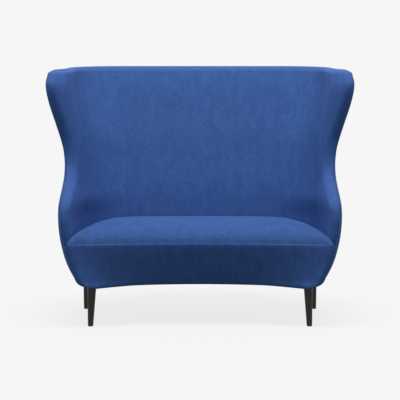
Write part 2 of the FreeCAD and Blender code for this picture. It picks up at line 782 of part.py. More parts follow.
# Springs on the seat rails
springHeight = deckHeight + clipThick + (springWire + springRoom) / 2
clipTop = deckHeight + springWire + springRoom + 2 * clipThick
springs = []
clips = []
springSpan = 2 * (Level(deckHeight).edgeHalf - frameSideFar - springInset)
springCount = int(springSpan / springSpacing) + 1
for k in range(springCount):
    x = (k - (springCount - 1) / 2) * springSpacing
    depth0 = frontDepth(x, deckHeight, borderBack + railThick / 2)
    depth1 = Level(deckHeight).back - frameNear - frameBack / 2
    springs.append(spring(x, depth0, depth1, springHeight))
    for depth, closedEnd in ((depth0, -1), (depth1, 1)):
        y0 = depth - clipDepth / 2
        clip = box(x - clipWidth / 2, x + clipWidth / 2, y0, y0 + clipDepth, deckHeight, clipTop)
        shift = -closedEnd * clipThick
        room = box(x - clipWidth, x + clipWidth, y0 + shift, y0 + clipDepth + shift,
                   deckHeight + clipThick, clipTop - clipThick)
        clips.append(clip.cut(room))
save("seat_springs", Part.makeCompound(springs))
save("spring_clips", Part.makeCompound(clips))
tieHeight = springHeight - (springWire + springRoom) / 2 - tieRadius
tieHalf = (springCount - 1) / 2 * springSpacing + tiePast
ties = []
for share in tieAt:
    y = share * Level(deckHeight).back - originDepth
    ties.append(rod(V(-tieHalf, y, tieHeight), V(1, 0, 0), tieRadius, 2 * tieHalf))
save("spring_tie_wires", Part.makeCompound(ties))
clothHeight = clipTop + clearance
deckFace = Part.Face(bodyWire(clothHeight, frameBackFar + deckInset, borderBack + deckInset))
save("seat_deck_cloth", deckFace.extrude(V(0, 0, deckCloth)))

# Front border
seatRoom = loft(lambda height: hollowWire(height, clearance, -clearance), legLength, seatCrown + reach)
seatRoom = seatRoom.common(slab(foamBottom - clearance, far))
borderTop = seamHeight - clearance
borderPast = frameBackFar + 3 * reach
borderZone = band(-reach, borderPast, borderPast, seamInset - clearance, armHeight)
borderCore = body(frameNear - clearance, borderBack, legLength - reach, seamHeight + reach)
borderOuter = body(0.0, 0.0, legLength, borderTop)
borderInner = body(coverThick, coverThick, legLength + coverThick, borderTop - coverThick)
borderCover = borderOuter.cut(borderInner).cut(borderCore).cut(borderZone).cut(seatRoom)
save("front_border_cover", clean(borderCover))
save("front_border_foam", clean(borderInner.cut(borderCore).cut(borderZone).cut(seatRoom)))

# Seat cushion
seatBase = body(frameNear, borderBack + clearance, foamBottom, seamHeight - clearance)
save("seat_base_foam", clean(seatBase.cut(seatRoom), crumb))
dome = seatDome(0.0)
domeInner = seatDome(coverThick)
save("seat_top_foam", clean(domeInner.cut(seatRoom), crumb))
save("seat_cover", clean(dome.cut(domeInner).cut(seatRoom)))
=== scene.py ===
import bpy
import math
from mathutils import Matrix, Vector


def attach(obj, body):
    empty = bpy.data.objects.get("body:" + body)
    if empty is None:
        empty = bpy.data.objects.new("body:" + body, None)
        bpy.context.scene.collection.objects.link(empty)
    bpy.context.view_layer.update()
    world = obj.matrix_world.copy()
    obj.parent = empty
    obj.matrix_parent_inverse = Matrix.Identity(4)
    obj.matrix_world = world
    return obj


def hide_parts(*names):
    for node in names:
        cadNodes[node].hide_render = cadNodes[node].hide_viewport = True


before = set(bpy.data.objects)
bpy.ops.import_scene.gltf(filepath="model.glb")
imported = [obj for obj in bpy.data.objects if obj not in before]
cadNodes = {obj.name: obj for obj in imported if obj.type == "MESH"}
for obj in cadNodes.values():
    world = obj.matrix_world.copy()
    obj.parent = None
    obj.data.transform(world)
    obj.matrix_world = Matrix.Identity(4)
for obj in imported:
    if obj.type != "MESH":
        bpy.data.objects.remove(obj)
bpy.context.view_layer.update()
bpy.ops.object.select_all(action="DESELECT")

# The settee stands on its four legs with its front towards -Y. The outlines below are in
# millimetres, with depths counted backwards from the front feet, as in the part's source.
mm = 0.001

settee = {
    "wingHalf": 765, "backDepth": 790, "originDepth": 366,
    "underside": 190, "seam": 383, "armTop": 600, "rim": 1258, "rimDrop": 55, "leanFrom": 700,
    "leanHinge": 380,
}


def low(share):  # between the front seam and the arm tops
    return settee["seam"] + share * (settee["armTop"] - settee["seam"])


def up(share):  # between the arm tops and the wing corners
    return settee["armTop"] + share * (settee["rim"] - settee["armTop"])


# height, outer side in from the wing tips, outer back ahead of the rearmost, side wall,
# back wall, outer rear corner, inner rear corner, share of the side that sweeps
shellTable = [
    (190, 143, 145, 80, 150, 150, 150, 0.92),
    (250, 105, 133, 85, 160, 162, 160, 0.92),
    (383, 64, 113, 96, 145, 190, 180, 0.92),
    (low(0.50), 55, 101, 94, 141, 205, 200, 0.92),
    (600, 62, 93, 104, 134, 230, 220, 0.92),
    (up(0.10), 68, 85, 88, 130, 236, 225, 0.90),
    (up(0.30), 79, 69, 69, 114, 250, 235, 0.85),
    (up(0.46), 76, 55, 68, 105, 250, 240, 0.80),
    (up(0.68), 70, 32, 59, 91, 250, 235, 0.68),
    (up(0.90), 63, 10, 50, 81, 250, 225, 0.60),
    (1258, 63, 0, 50, 72, 250, 220, 0.70),
]

# front edge of arm and wing: height, in from the wing tips, depth
edgeTable = [
    (190, 214, 20), (206, 191, 16), (250, 166, 8), (383, 121, -6),
    (low(0.35), 108, -13), (low(0.68), 102, -9), (low(0.87), 101, 8), (low(0.98), 101, 42),
    (up(0.06), 101, 125), (up(0.137), 97, 228), (up(0.213), 91, 282), (up(0.304), 82, 303),
    (up(0.426), 63, 303), (up(0.578), 35, 278), (up(0.73), 9, 243),
    (up(0.836), -3, 226), (up(0.897), -5, 226), (up(0.95), 0, 243), (up(0.985), 7, 274),
    (1258, 22, 322),
]

# hollow front face: height, depth at the corners, depth in the middle
frontTable = [(190, -58, 78), (280, -58, 42), (383, -58, 12), (495, -54, 14)]


def smoothTable(table, column, height):
    heights = [row[0] for row in table]
    values = [row[column] for row in table]
    last = len(table) - 1
    if height <= heights[0]:
        return values[0]
    if height >= heights[last]:
        return values[last]
    k = 0
    while heights[k + 1] < height:
        k += 1

    def slope(i):
        if i == 0 or i == last:
            j = min(i, last - 1)
            return (values[j + 1] - values[j]) / (heights[j + 1] - heights[j])
        before = heights[i] - heights[i - 1]
        after = heights[i + 1] - heights[i]
        riseBefore = (values[i] - values[i - 1]) / before
        riseAfter = (values[i + 1] - values[i]) / after
        return (riseBefore * after + riseAfter * before) / (before + after)

    span = heights[k + 1] - heights[k]
    t = (height - heights[k]) / span
    start = (2 * t ** 3 - 3 * t ** 2 + 1) * values[k] + (t ** 3 - 2 * t ** 2 + t) * span * slope(k)
    end = (3 * t ** 2 - 2 * t ** 3) * values[k + 1] + (t ** 3 - t ** 2) * span * slope(k + 1)
    return start + end


class Outline:  # the sizes of the shell at one height
    def __init__(self, height):
        self.half = settee["wingHalf"] - smoothTable(shellTable, 1, height)
        self.back = settee["backDepth"] - smoothTable(shellTable, 2, height)
        self.side = smoothTable(shellTable, 3, height)
        self.wall = smoothTable(shellTable, 4, height)
        self.corner = smoothTable(shellTable, 5, height)
        self.innerCorner = smoothTable(shellTable, 6, height)
        self.share = smoothTable(shellTable, 7, height)
        self.edge = Vector((settee["wingHalf"] - smoothTable(edgeTable, 1, height),
                            smoothTable(edgeTable, 2, height)))
        self.frontCorner = smoothTable(frontTable, 1, height)
        self.frontMiddle = smoothTable(frontTable, 2, height)
        sweep = self.share * (self.back - self.corner - self.edge.y)
        self.sweepStart = self.edge.y + sweep
        turn = 2 * math.atan2(self.edge.x - self.half, sweep)
        self.forward = Vector((math.sin(turn), -math.cos(turn)))
        self.outward = Vector((math.cos(turn), math.sin(turn)))


def turned(direction, angle):
    return Vector((direction.x * math.cos(angle) - direction.y * math.sin(angle),
                   direction.x * math.sin(angle) + direction.y * math.cos(angle)))


def arcRun(start, heading, end, steps=24):  # points of the arc that leaves start this way
    chord = end - start
    half = math.atan2(heading.x * chord.y - heading.y * chord.x, heading.dot(chord))
    if abs(half) < 1e-4:
        return [start + chord * (i / steps) for i in range(steps + 1)]
    points = []
    for i in range(steps + 1):
        part = half * i / steps
        points.append(start + turned(heading, part) * (chord.length * math.sin(part) / math.sin(half)))
    return points


def rearPath(half, back, radius):  # from the straight side round the corner to the middle
    centre = Vector((half - radius, back - radius))
    points = [centre + turned(Vector((radius, 0)), math.radians(3.75 * i)) for i in range(25)]
    return points + [Vector((0, back))]


def outerPath(at, inset=0.0):  # outer face, from the front edge to the middle of the back
    half = at.half - inset
    tip = at.edge - at.outward * inset
    sweep = arcRun(Vector((half, at.sweepStart)), Vector((0, -1)), tip)
    return sweep[::-1] + rearPath(half, at.back - inset, at.corner - inset)


def innerPath(at, wall=45.0):  # inner face, from the front edge to the middle of the back
    half = at.half - at.side
    tip = at.edge - at.outward * wall
    cornerStart = at.back - at.wall - at.innerCorner
    start = Vector((half, tip.y + at.share * (cornerStart - tip.y)))
    sweep = arcRun(start, Vector((0, -1)), tip)
    return sweep[::-1] + rearPath(half, at.back - at.wall, at.innerCorner)


def pathLength(path):
    return sum((b - a).length for a, b in zip(path, path[1:]))


def spaced(path, distances):  # points at these distances along a path
    points = []
    k = 0
    done = 0.0
    for distance in distances:
        while k < len(path) - 2 and done + (path[k + 1] - path[k]).length < distance:
            done += (path[k + 1] - path[k]).length
            k += 1
        span = (path[k + 1] - path[k]).length
        points.append(path[k].lerp(path[k + 1], min(1.0, (distance - done) / max(span, 1e-6))))
    return points


def place(point, height):  # from an outline into the scene, leaning back near the rim
    share = max(0.0, (height - settee["leanFrom"]) / (settee["rim"] - settee["leanFrom"]))
    hinge = settee["leanHinge"]
    angle = math.atan(settee["rimDrop"] / (settee["backDepth"] - hinge)) * share ** 2
    behind = point.y - hinge
    return Vector((point.x * mm, (hinge + behind * math.cos(angle) - settee["originDepth"]) * mm,
                   (height + behind * math.sin(angle)) * mm))


def smoothStep(t):
    t = min(1.0, max(0.0, t))
    return t * t * (3 - 2 * t)


def roll(distance, radius, depth):  # how far a padded edge has curled in, near its seam
    if distance >= radius:
        return 0.0
    t = 1 - distance / radius
    return depth * (1 - math.sqrt(1 - t * t))


def meshObject(name, vertices, faces):
    mesh = bpy.data.meshes.new(name)
    mesh.from_pydata([tuple(v) for v in vertices], [], faces)
    mesh.update()
    piece = bpy.data.objects.new(name, mesh)
    bpy.context.scene.collection.objects.link(piece)
    return piece


def choose(piece):
    bpy.ops.object.select_all(action="DESELECT")
    piece.select_set(True)
    bpy.context.view_layer.objects.active = piece


def facesOut(piece):
    choose(piece)
    bpy.ops.object.mode_set(mode="EDIT")
    bpy.ops.mesh.select_all(action="SELECT")
    bpy.ops.mesh.remove_doubles(threshold=0.00005)
    bpy.ops.mesh.normals_make_consistent(inside=False)
    bpy.ops.object.mode_set(mode="OBJECT")


def smooth(piece, angle=50):
    choose(piece)
    bpy.ops.object.shade_smooth_by_angle(angle=math.radians(angle))


def applyAll(piece):
    choose(piece)
    for modifier in list(piece.modifiers):
        bpy.ops.object.modifier_apply(modifier=modifier.name)


# One upholstered skin goes over the inside back, the wings, the arms, their front edges and the rim.
insideUpholstery = {
    "bottom": 330, "frontOut": 14, "frontIn": 30, "wall": 45, "full": 3,
    "rimRound": 22, "rimOut": 0.2, "rimIn": 0.62, "rimBack": 12,
    "seamBehind": 13, "seamUnderRim": 13, "seamDepth": 2.6, "under": 7, "tuck": 8, "curl": 4,
    # how finely the skin is drawn: heights, then distances from the front edge along it
    "heightStep": 12.0, "evenHeights": 74,
    "belowRim": (30, 26, 22, 19, 16, 14.5, 13, 11.5, 10, 8, 6, 4, 2.4, 1.2, 0.4, 0),
    "near": (0, 0.7, 1.4, 2.2, 3.2, 4.5, 6, 8, 11, 15, 20, 27, 36, 48, 62), "far": 56,
}


def insideHeights():
    k = insideUpholstery
    top = settee["rim"]
    heights = [k["bottom"] + k["heightStep"] * i for i in range(k["evenHeights"])]
    return heights + [top - d for d in k["belowRim"]]


def cornerCurve(start, leaving, end, arriving):  # a rounded corner, as a cubic curve with 8 spans
    handle = 0.39 * (end - start).length
    first = start + leaving * handle
    second = end - arriving * handle
    points = []
    for i in range(9):
        t = i / 8
        near = start * (1 - t) ** 3 + first * (3 * t * (1 - t) ** 2)
        points.append(near + second * (3 * t * t * (1 - t)) + end * t ** 3)
    return points


def skinStops(start, length):  # distances along a face, from its padded front edge to the middle
    k = insideUpholstery
    first = [start + d for d in k["near"]]
    return first + [first[-1] + (length - first[-1]) * i / k["far"] for i in range(1, k["far"] + 1)]


def insideRing(height):
    k = insideUpholstery
    at = Outline(height)
    top = settee["rim"]
    t = max(0.0, (height - top + k["rimRound"]) / k["rimRound"])
    rounding = 1 - math.sqrt(max(0.0, 1 - t * t))
    at.edge = at.edge - at.forward * (k["rimBack"] * rounding) + at.outward * k["full"]
    outer = outerPath(at)
    inner = innerPath(at, k["wall"])
    outerStops = skinStops(k["frontOut"], pathLength(outer))
    innerStops = skinStops(k["frontIn"], pathLength(inner))
    outerPoints = spaced(outer, outerStops)
    innerPoints = spaced(inner, innerStops)
    # the outside of the skin goes under the outside covers, past a curled seam
    for i, point in enumerate(outerPoints):
        inwards = (innerPoints[i] - point).normalized()
        past = min(outerStops[i] - k["seamBehind"], top - k["seamUnderRim"] - height)
        if past > 0:
            inset = k["seamDepth"] + (k["under"] - k["seamDepth"]) * smoothStep(past / k["tuck"])
        else:
            inset = k["seamDepth"] * max(0.0, 1 + past / k["curl"]) ** 2
        outerPoints[i] = point + inwards * inset
    # the padded front edge, in line with the outer and the inner face where it meets them
    front = at.edge - at.outward * k["frontOut"]
    inward = (inner[1] - inner[0]).normalized()
    cap = cornerCurve(outerPoints[0], at.forward, front, -at.outward)[1:]
    cap += cornerCurve(front, -at.outward, innerPoints[0], inward)[1:-1]
    half = outerPoints[::-1] + cap + innerPoints
    count = len(half)
    for i in range(count // 2):
        a, b = half[i], half[count - 1 - i]
        half[i] = a.lerp(b, k["rimOut"] * rounding)
        half[count - 1 - i] = b.lerp(a, k["rimIn"] * rounding)
    return half


def makeInsideUpholstery():
    vertices = []
    rings = []
    for height in insideHeights():
        half = insideRing(height)
        ring = half + [Vector((-p.x, p.y)) for p in half[-2:0:-1]]
        rings.append(range(len(vertices), len(vertices) + len(ring)))
        vertices += [place(p, height) for p in ring]
    faces = []
    count = len(rings[0])
    half = count // 2 + 1
    for a, b in zip(rings, rings[1:]):
        faces += [(a[i], a[(i + 1) % count], b[(i + 1) % count], b[i]) for i in range(count)]
    for ring in (rings[0], rings[-1]):
        for i in range(half // 2 - 1):
            faces.append((ring[i], ring[i + 1], ring[half - 2 - i], ring[half - 1 - i]))
            left = [(count - j) % count for j in (i, i + 1, half - 2 - i, half - 1 - i)]
            faces.append(tuple(ring[j] for j in left))
    piece = meshObject("inside_upholstery", vertices, faces)
    facesOut(piece)
    smooth(piece)
    return piece


print("inside upholstery")
inside = makeInsideUpholstery()


# Stretched covers and pads: a grid over part of a surface, its edges curled in to the seams.
# The wadding reaches its full depth this far from the seams, and further up from the hem.
wadding = {"fromSeam": 30, "fromHem": 70}


def paddedPatch(name, rows, edges, thick, full=0):
    # rows of points from bottom to top; edges: (seam radius, seam depth) at start, end, bottom, top;
    # full: how far the wadding lifts the cover between its seams
    across = len(rows[0])
    vertices = [p for row in rows for p in row]
    faces = []
    for j in range(len(rows) - 1):
        for i in range(across - 1):
            a = j * across + i
            faces.append((a, a + 1, a + across + 1, a + across))
    piece = meshObject(name, vertices, faces)
    mesh = piece.data
    mesh.update()
    normals = [v.normal.copy() for v in mesh.vertices]
    for j, row in enumerate(rows):
        for i in range(across):
            column = [rows[m][i] for m in range(len(rows))]
            gaps = (
                lengthOf(row[:i + 1]), lengthOf(row[i:]),
                lengthOf(column[:j + 1]), lengthOf(column[j:]),
            )
            inset = 0.0
            for gap, (radius, depth) in zip(gaps, edges):
                inset = max(inset, roll(gap / mm, radius, depth))
            fromSeam = min(gaps[0], gaps[1], gaps[3]) / mm
            lift = smoothStep(fromSeam / wadding["fromSeam"])
            inset -= full * lift * smoothStep(gaps[2] / mm / wadding["fromHem"])
            vertex = mesh.vertices[j * across + i]
            vertex.co = vertex.co - normals[vertex.index] * inset * mm
    solid = piece.modifiers.new("padding", "SOLIDIFY")
    solid.thickness = thick * mm
    solid.offset = -1
    applyAll(piece)
    facesOut(piece)
    smooth(piece)
    return piece


def lengthOf(points):
    return sum((b - a).length for a, b in zip(points, points[1:]))


def stops(length, edge, middle):  # close together near both ends of a run, then even
    near = [0, 0.5, 1.1, 1.8, 2.7, 3.8, 5.2, 7, 9.5, 13, 18, 25]
    near = [d for d in near if d <= edge]
    inner = length - 2 * near[-1]
    even = [near[-1] + inner * i / middle for i in range(1, middle)]
    return near + even + [length - d for d in near[::-1]]


outsideCovers = {
    "bottom": 190, "hem": (32, 13.5), "seamBehind": 13.6, "underRim": 13.6, "backSeam": 560,
    "seamRadius": 4, "seamDepth": 2.0, "thick": 6.5, "full": 6.5,
    "seamGap": 0.4, "fineTo": 25, "rows": 76, "backColumns": 48, "sideColumns": 44,
}


def outsideRows(which):  # each row runs so that the patch faces away from the settee
    k = outsideCovers
    rows = []
    for height in stops(settee["rim"] - k["underRim"] - k["bottom"], k["fineTo"], k["rows"]):
        height += k["bottom"]
        path = outerPath(Outline(height))
        total = pathLength(path)
        # distance from the front edge to the upright back seam
        seam = total - k["backSeam"]
        if which == "back":
            start = seam + k["seamGap"]
            width = total - start
            across = stops(2 * width, k["fineTo"], k["backColumns"])
            half = spaced(path, [start + d for d in across if d <= width + 1e-6])
            row = half + [Vector((-p.x, p.y)) for p in half[-2::-1]]
        else:
            start = k["seamBehind"]
            across = stops(seam - start, k["fineTo"], k["sideColumns"])
            row = spaced(path, [start + d for d in across])
        rows.append([place(p, height) for p in row])
    if which == "left":
        rows = [[Vector((-p.x, p.y, p.z)) for p in row[::-1]] for row in rows]
    return rows


print("outside covers")
outsides = {}
for which in ("back", "right", "left"):
    k = outsideCovers
    seam = (k["seamRadius"], k["seamDepth"])
    rows = outsideRows(which)
    piece = paddedPatch("outside_" + which, rows, (seam, seam, k["hem"], seam), k["thick"], k["full"])
    outsides[which] = piece


frontBorder = {
    "bottom": 190, "top": 383, "hem": (24, 14), "seamRadius": 3, "seamDepth": 1.2,
    "proud": 2, "cornerRound": 30, "behindEdge": 12.4, "thick": 13, "endSeam": (5, 2.4),
    "fineTo": 18, "rows": 16, "columns": 120,
}


def frontRadius(at):
    endX = at.edge.x + frontBorder["proud"] - frontBorder["cornerRound"]
    drop = at.frontMiddle - at.frontCorner
    return (endX ** 2 + drop ** 2) / (2 * drop)


def frontDepth(at, x, front=0.0):
    radius = frontRadius(at)
    return at.frontMiddle - radius + math.sqrt((radius + front) ** 2 - x ** 2)


def frontRun(at, endX, front=0.0, steps=40):  # the hollow front, from its end to the middle
    across = [endX * (1 - i / steps) for i in range(1, steps + 1)]
    return [Vector((x, frontDepth(at, x, front))) for x in across]


def borderPath(at):  # from the side seam round the corner to the middle of the front
    k = frontBorder
    endX = at.edge.x + k["proud"] - k["cornerRound"]
    frontEnd = Vector((endX, frontDepth(at, endX)))
    sideEnd = frontEnd + Vector((k["cornerRound"], k["cornerRound"]))
    back = at.edge - at.forward * k["behindEdge"]
    corner = arcRun(sideEnd, Vector((0, -1)), frontEnd, 16)
    return [back, at.edge] + corner + frontRun(at, endX)


def makeFrontBorder():
    k = frontBorder
    rows = []
    for height in stops(k["top"] - k["bottom"], k["fineTo"], k["rows"]):
        height += k["bottom"]
        path = borderPath(Outline(height))
        total = pathLength(path)
        across = stops(2 * total, k["fineTo"], k["columns"])
        half = spaced(path, [d for d in across if d <= total + 1e-6])
        row = [Vector((-p.x, p.y)) for p in half] + half[-2::-1]
        rows.append([place(p, height) for p in row])
    edges = (k["endSeam"], k["endSeam"], k["hem"], (k["seamRadius"], k["seamDepth"]))
    return paddedPatch("front_border", rows, edges, k["thick"])


print("front border")
border = makeFrontBorder()


# The seat is one sprung, domed cushion sewn to the border along the front seam.
seatCushion = {
    "foot": 383.2, "crown": 494, "extra": 6, "pressed": 6,
    "front": 205, "frontPower": 2.3, "side": 200, "sidePower": 1.7, "back": 90, "backPower": 2.2,
    "seamRadius": 3, "seamDepth": 1.2, "below": 36, "cornersIn": 13, "cornerGrowth": 0.2,
    "pressure": 4, "mostSwell": 5, "sewnBelow": 6, "heldBehind": 470, "settleFrames": 20,
    # how finely it is drawn
    "halfPoints": 150, "crownRings": 15,
    "riseAngles": (1.5, 3, 5, 8, 12, 17, 22, 28, 34, 41, 48, 55, 62, 69, 75, 80, 84, 87.5, 90),
}


def seatOutline(height, front, side, back):
    k = seatCushion
    at = Outline(height)
    rearX = at.half - at.side + k["pressed"] - side
    rearDepth = at.back - at.wall + k["pressed"] - back
    frontX = at.edge.x + frontBorder["proud"] - side - k["cornersIn"]
    turn = frontBorder["cornerRound"] + front * k["cornerGrowth"]
    endX = frontX - turn
    frontEnd = Vector((endX, frontDepth(at, endX, front)))
    sideEnd = Vector((frontX, frontEnd.y + turn))
    radius = at.innerCorner - min(side, back) / 2
    rear = rearPath(rearX, rearDepth, radius)[::-1]
    corner = arcRun(sideEnd, Vector((0, -1)), frontEnd, 16)
    path = rear + corner + frontRun(at, endX, front)
    total = pathLength(path)
    return spaced(path, [total * i / k["halfPoints"] for i in range(k["halfPoints"] + 1)])


def makeSeat():
    k = seatCushion
    rings = []
    for drop, inset in ((k["below"], 12), (k["below"] * 0.6, 9), (12, 5), (4, 3), (0, k["seamDepth"])):
        half = seatOutline(k["foot"] - drop, inset, inset, inset)
        rings.append([(p, k["foot"] - drop) for p in half])
    falling = (
        (k["front"], k["frontPower"]), (k["side"], k["sidePower"]), (k["back"], k["backPower"]),
    )
    for angle in k["riseAngles"]:
        rise = math.sin(math.radians(angle)) ** (2 / k["frontPower"])
        height = k["foot"] + rise * (k["crown"] - k["foot"])
        falls = []
        for width, power in falling:
            fall = width * (1 - max(0.0, 1 - rise ** power) ** (1 / power))
            falls.append(fall + roll(height - k["foot"], k["seamRadius"], k["seamDepth"]))
        rings.append([(p, height) for p in seatOutline(height, *falls)])
    top = rings[-1]
    centre = Vector((0, sum(p.y for p, h in top) / len(top)))
    for i in range(1, k["crownRings"]):
        share = 1 - i / k["crownRings"]
        rise = k["extra"] * (1 - share ** 2)
        rings.append([(centre.lerp(p, share), k["crown"] + rise) for p, h in top])
    vertices = []
    loops = []
    for half in rings:
        ring = half + [(Vector((-p.x, p.y)), h) for p, h in half[-2:0:-1]]
        loops.append(range(len(vertices), len(vertices) + len(ring)))
        vertices += [place(p, h) for p, h in ring]
    count = len(loops[0])
    faces = []
    for a, b in zip(loops, loops[1:]):
        faces += [(a[i], a[(i + 1) % count], b[(i + 1) % count], b[i]) for i in range(count)]
    vertices.append(place(centre, k["crown"] + k["extra"]))
    faces += [(loops[-1][i], loops[-1][(i + 1) % count], len(vertices) - 1) for i in range(count)]
    faces.append(tuple(loops[0]))
    piece = meshObject("seat_cushion", vertices, faces)
    facesOut(piece)
    swell(piece)
    smooth(piece)
    return piece


def swell(piece):  # the cover is blown up a little over its filling, held along the seam and the back
    k = seatCushion
    mesh = piece.data
    start = [v.co.copy() for v in mesh.vertices]
    seamLine = (k["foot"] + k["sewnBelow"]) * mm
    heldLine = (k["heldBehind"] - settee["originDepth"]) * mm
    held = piece.vertex_groups.new(name="sewn")
    held.add([v.index for v in mesh.vertices if v.co.z < seamLine or v.co.y > heldLine], 1.0, "REPLACE")
    cloth = piece.modifiers.new("cover", "CLOTH")
    cloth.settings.vertex_group_mass = "sewn"
    cloth.settings.use_pressure = True
    cloth.settings.uniform_pressure_force = k["pressure"]
    cloth.settings.effector_weights.gravity = 0
    cloth.settings.quality = 5
    for step in range(1, k["settleFrames"] + 1):
        bpy.context.scene.frame_set(step)
    choose(piece)
    bpy.ops.object.modifier_apply(modifier=cloth.name)
    bpy.context.scene.frame_set(1)
    for v, was in zip(piece.data.vertices, start):
        moved = v.co - was
        most = k["mostSwell"] * mm
        if moved.length > most:
            moved *= most / moved.length
        v.co = was + moved
    piece.vertex_groups.clear()


print("seat cushion")
seat = makeSeat()


# Flat cloths: black cloth stapled under the body, hessian over the springs and over the back webbing.
flatCloths = {
    "dust": {"height": 190, "side": 17, "front": 24, "sag": 4, "thick": 1.0},
    "deck": {"height": 325, "side": 46, "front": 24, "sag": 2, "thick": 1.2},
    "columns": 60, "rows": 26, "endGap": 3, "cornerCut": 14,
    "hessian": {
        "bottom": 332, "top": 1236, "inset": 42.5, "half": 432, "thick": 0.8, "rows": 60, "columns": 40,
    },
}


def clothOutline(at, side, front):  # right half, from the middle of the back to the middle of the front
    path = outerPath(at, side)[::-1]
    path = [p for p in path if p.y > at.edge.y + side]
    endX = at.edge.x - side - flatCloths["cornerCut"]
    return path + [Vector((endX, frontDepth(at, endX, front)))] + frontRun(at, endX, front, 30)


def depthsAt(outline, x):  # where a column at this distance from the middle enters and leaves
    crossings = []
    for a, b in zip(outline, outline[1:]):
        if min(a.x, b.x) <= x <= max(a.x, b.x) and abs(a.x - b.x) > 1e-6:
            crossings.append(a.y + (b.y - a.y) * (x - a.x) / (b.x - a.x))
    return min(crossings), max(crossings)


def gridCloth(name, rows, thick):
    across = len(rows[0])
    faces = []
    for j in range(len(rows) - 1):
        for i in range(across - 1):
            a = j * across + i
            faces.append((a, a + 1, a + across + 1, a + across))
    piece = meshObject(name, [p for row in rows for p in row], faces)
    area = sum(face.area for face in piece.data.polygons)
    solid = piece.modifiers.new("cloth thickness", "SOLIDIFY")
    solid.thickness = thick * mm
    applyAll(piece)
    facesOut(piece)
    smooth(piece)
    return piece, area


def makeFlatCloth(name, k):
    at = Outline(k["height"])
    outline = clothOutline(at, k["side"], k["front"])
    half = max(p.x for p in outline) - flatCloths["endGap"]
    columns = flatCloths["columns"]
    rows = []
    for j in range(flatCloths["rows"] + 1):
        share = j / flatCloths["rows"]
        row = []
        for i in range(-columns, columns + 1):
            x = half * math.sin(math.radians(90 * i / columns))
            near, far = depthsAt(outline, abs(x))
            sag = k["sag"] * math.cos(math.radians(90 * i / columns)) * math.sin(math.pi * share)
            row.append(place(Vector((x, near + (far - near) * share)), k["height"] - sag))
        rows.append(row)
    piece, area = gridCloth(name, rows, k["thick"])
    return piece, area, (2 * half * mm, (max(p.y for p in outline) - min(p.y for p in outline)) * mm)


def makeBackHessian():
    k = flatCloths["hessian"]
    rows = []
    for j in range(k["rows"] + 1):
        height = k["bottom"] + (k["top"] - k["bottom"]) * j / k["rows"]
        at = Outline(height)
        path = outerPath(at, k["inset"])
        total = pathLength(path)
        right = spaced(path, [total - k["half"] * (1 - i / k["columns"]) for i in range(k["columns"] + 1)])
        row = [Vector((-p.x, p.y)) for p in right] + right[-2::-1]
        rows.append([place(p, height) for p in row])
    piece, area = gridCloth("back_hessian_sheet", rows, k["thick"])
    widest = max(lengthOf(row) for row in rows)
    tallest = max(lengthOf([row[i] for row in rows]) for i in range(len(rows[0])))
    return piece, area, (widest, tallest)


print("flat cloths")
dust, dustArea, dustSize = makeFlatCloth("dust_cover_sheet", flatCloths["dust"])
deck, deckArea, deckSize = makeFlatCloth("seat_deck_sheet", flatCloths["deck"])
hessian, hessianArea, hessianSize = makeBackHessian()


print("materials")


def linear(code):  # an sRGB hex colour as linear values
    values = [int(code[i:i + 2], 16) / 255 for i in (1, 3, 5)]
    return tuple(v / 12.92 if v <= 0.04045 else ((v + 0.055) / 1.055) ** 2.4 for v in values) + (1.0,)


def addNode(tree, kind, settings=None, links=None):
    node = tree.nodes.new(kind)
    for name, value in (settings or {}).items():
        if isinstance(name, int) or name in node.inputs:
            node.inputs[name].default_value = value
        else:
            setattr(node, name, value)
    for name, socket in (links or {}).items():
        tree.links.new(socket, node.inputs[name])
    return node


def newMaterial(name):
    material = bpy.data.materials.new(name)
    material.use_nodes = True
    tree = material.node_tree
    tree.nodes.clear()
    output = addNode(tree, "ShaderNodeOutputMaterial")
    return material, tree, output


def colourSteps(tree, factor, steps):
    ramp = addNode(tree, "ShaderNodeValToRGB", links={"Fac": factor})
    elements = ramp.color_ramp.elements
    while len(elements) < len(steps):
        elements.new(0.5)
    for element, (position, code) in zip(elements, steps):
        element.position = position
        element.color = linear(code)
    return ramp.outputs["Color"]


# Melange wool: threads spun from light and dark blue fibres, so the colour breaks up into soft
# mottles a few millimetres across, with dark flecks. Felted surface, no gloss.
melangeWool = {
    "mottle": 7, "streak": 36, "fleck": 5, "thread": 2.4,   # sizes in millimetres
    "dark": "#2f4f88", "middle": "#365896", "light": "#4063a2", "fleckColour": "#233c73",
}


